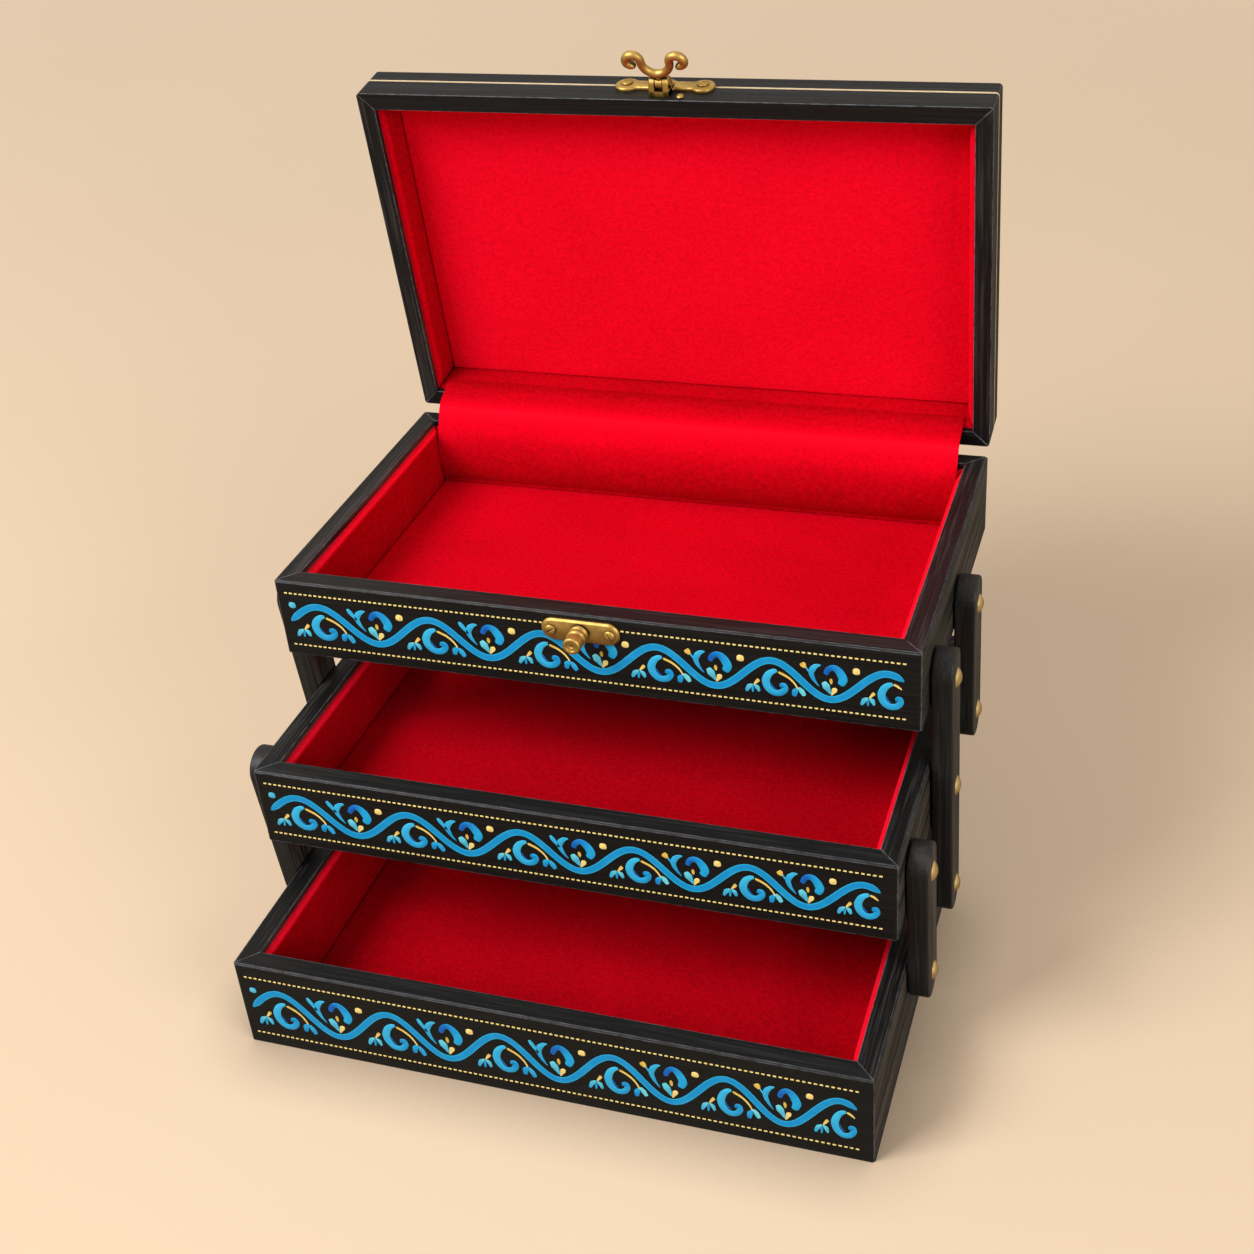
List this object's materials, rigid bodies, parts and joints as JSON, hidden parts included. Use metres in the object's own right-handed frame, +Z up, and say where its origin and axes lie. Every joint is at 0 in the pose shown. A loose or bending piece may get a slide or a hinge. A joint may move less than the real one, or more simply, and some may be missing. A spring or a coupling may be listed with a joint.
{
  "type": "tiered jewelry box",
  "caption": "Cantilever jewellery box: padded trays that step back on pivoting side arms as they rise, and a hinged lid with a horned hasp latch.",
  "frame": {"origin": "centre of the underside of the bottom tray", "axes": "+Z up, +X to the right and +Y to the back; the box stands open, its trays stepping back as they rise and its lid standing up behind"},
  "size_m": [0.3034, 0.2815, 0.371],
  "materials": {
    "lacquered_wood": "dark open-grain lacquer, satin",
    "arm_wood": "dark stained wood, satin",
    "velvet": "red velvet",
    "brass": "polished, slightly aged",
    "stringing": "pale inlaid line"
  },
  "bodies": {
    "bottom_tray": {"bottom_rivets": "brass", "bottom_front_board": "lacquered_wood", "bottom_right_board": "lacquered_wood", "bottom_back_board": "lacquered_wood", "bottom_left_board": "lacquered_wood", "bottom_base_panel": "lacquered_wood", "bottom_wall_lining": "velvet", "bottom_floor_pad": "velvet"},
    "middle_tray": {"middle_rivets": "brass", "middle_front_board": "lacquered_wood", "middle_right_board": "lacquered_wood", "middle_back_board": "lacquered_wood", "middle_left_board": "lacquered_wood", "middle_base_panel": "lacquered_wood", "middle_wall_lining": "velvet", "middle_floor_pad": "velvet"},
    "top_tray": {"top_rivets": "brass", "top_front_board": "lacquered_wood", "top_right_board": "lacquered_wood", "top_back_board": "lacquered_wood", "top_left_board": "lacquered_wood", "top_base_panel": "lacquered_wood", "top_wall_lining": "velvet", "top_floor_pad": "velvet", "catch_plate": "brass", "catch_screws": "brass", "catch_knob": "brass", "hinge_tray_leaves": "brass", "hinge_pins": "brass"},
    "lid": {"lid_front_board": "lacquered_wood", "lid_right_board": "lacquered_wood", "lid_back_board": "lacquered_wood", "lid_left_board": "lacquered_wood", "lid_top_panel": "lacquered_wood", "lid_stringing": "stringing", "lid_wall_lining": "velvet", "lid_panel_pad": "velvet", "latch_plate": "brass", "latch_screws": "brass", "latch_stud": "brass", "latch_pin": "brass", "hinge_lid_leaves": "brass", "hinge_strip": "velvet"},
    "latch_hasp": {"latch_hasp": "brass"},
    "front_arm_right": {"front_arm_right": "arm_wood"},
    "long_arm_right": {"long_arm_right": "arm_wood"},
    "rear_arm_right": {"rear_arm_right": "arm_wood"},
    "front_arm_left": {"front_arm_left": "arm_wood"},
    "long_arm_left": {"long_arm_left": "arm_wood"},
    "rear_arm_left": {"rear_arm_left": "arm_wood"}
  },
  "joints": [
    {"name": "arms_fold", "type": "hinge", "parent": "bottom_tray", "child": "long_arm_right", "pos_m": [0, 0.047, 0.039], "axis": [-1, 0, 0], "range_deg": [-55.06, 0]},
    {"name": "long_arm_left_pivot", "type": "hinge", "parent": "bottom_tray", "child": "long_arm_left", "pos_m": [0, 0.047, 0.039], "axis": [-1, 0, 0], "range_deg": [-56.06, 1]},
    {"name": "front_arm_right_pivot", "type": "hinge", "parent": "bottom_tray", "child": "front_arm_right", "pos_m": [0, -0.009, 0.039], "axis": [-1, 0, 0], "range_deg": [-56.06, 1]},
    {"name": "front_arm_left_pivot", "type": "hinge", "parent": "bottom_tray", "child": "front_arm_left", "pos_m": [0, -0.009, 0.039], "axis": [-1, 0, 0], "range_deg": [-56.06, 1]},
    {"name": "middle_tray_pivot", "type": "hinge", "parent": "long_arm_right", "child": "middle_tray", "pos_m": [0, 0.04027, 0.09862], "axis": [-1, 0, 0], "range_deg": [-1, 56.06]},
    {"name": "top_tray_pivot", "type": "hinge", "parent": "long_arm_right", "child": "top_tray", "pos_m": [0, 0.03353, 0.15824], "axis": [-1, 0, 0], "range_deg": [-1, 56.06]},
    {"name": "rear_arm_right_pivot", "type": "hinge", "parent": "middle_tray", "child": "rear_arm_right", "pos_m": [0, 0.09627, 0.09862], "axis": [-1, 0, 0], "range_deg": [-56.06, 1]},
    {"name": "rear_arm_left_pivot", "type": "hinge", "parent": "middle_tray", "child": "rear_arm_left", "pos_m": [0, 0.09627, 0.09862], "axis": [-1, 0, 0], "range_deg": [-56.06, 1]},
    {"name": "lid_hinge", "type": "hinge", "parent": "top_tray", "child": "lid", "pos_m": [0, 0.177, 0.184], "axis": [-1, 0, 0], "range_deg": [-82, 0], "deforming": ["hinge_strip"]},
    {"name": "hasp_pivot", "type": "hinge", "parent": "lid", "child": "latch_hasp", "pos_m": [0, 0.15898, 0.35536], "axis": [-1, 0, 0], "range_deg": [-70, 100]}
  ],
  "couplings": [
    {"joint": "long_arm_left_pivot", "follows": "arms_fold", "ratio": 1},
    {"joint": "front_arm_right_pivot", "follows": "arms_fold", "ratio": 1},
    {"joint": "front_arm_left_pivot", "follows": "arms_fold", "ratio": 1},
    {"joint": "rear_arm_right_pivot", "follows": "arms_fold", "ratio": 1},
    {"joint": "rear_arm_left_pivot", "follows": "arms_fold", "ratio": 1},
    {"joint": "middle_tray_pivot", "follows": "arms_fold", "ratio": -1},
    {"joint": "top_tray_pivot", "follows": "arms_fold", "ratio": -1}
  ]
}
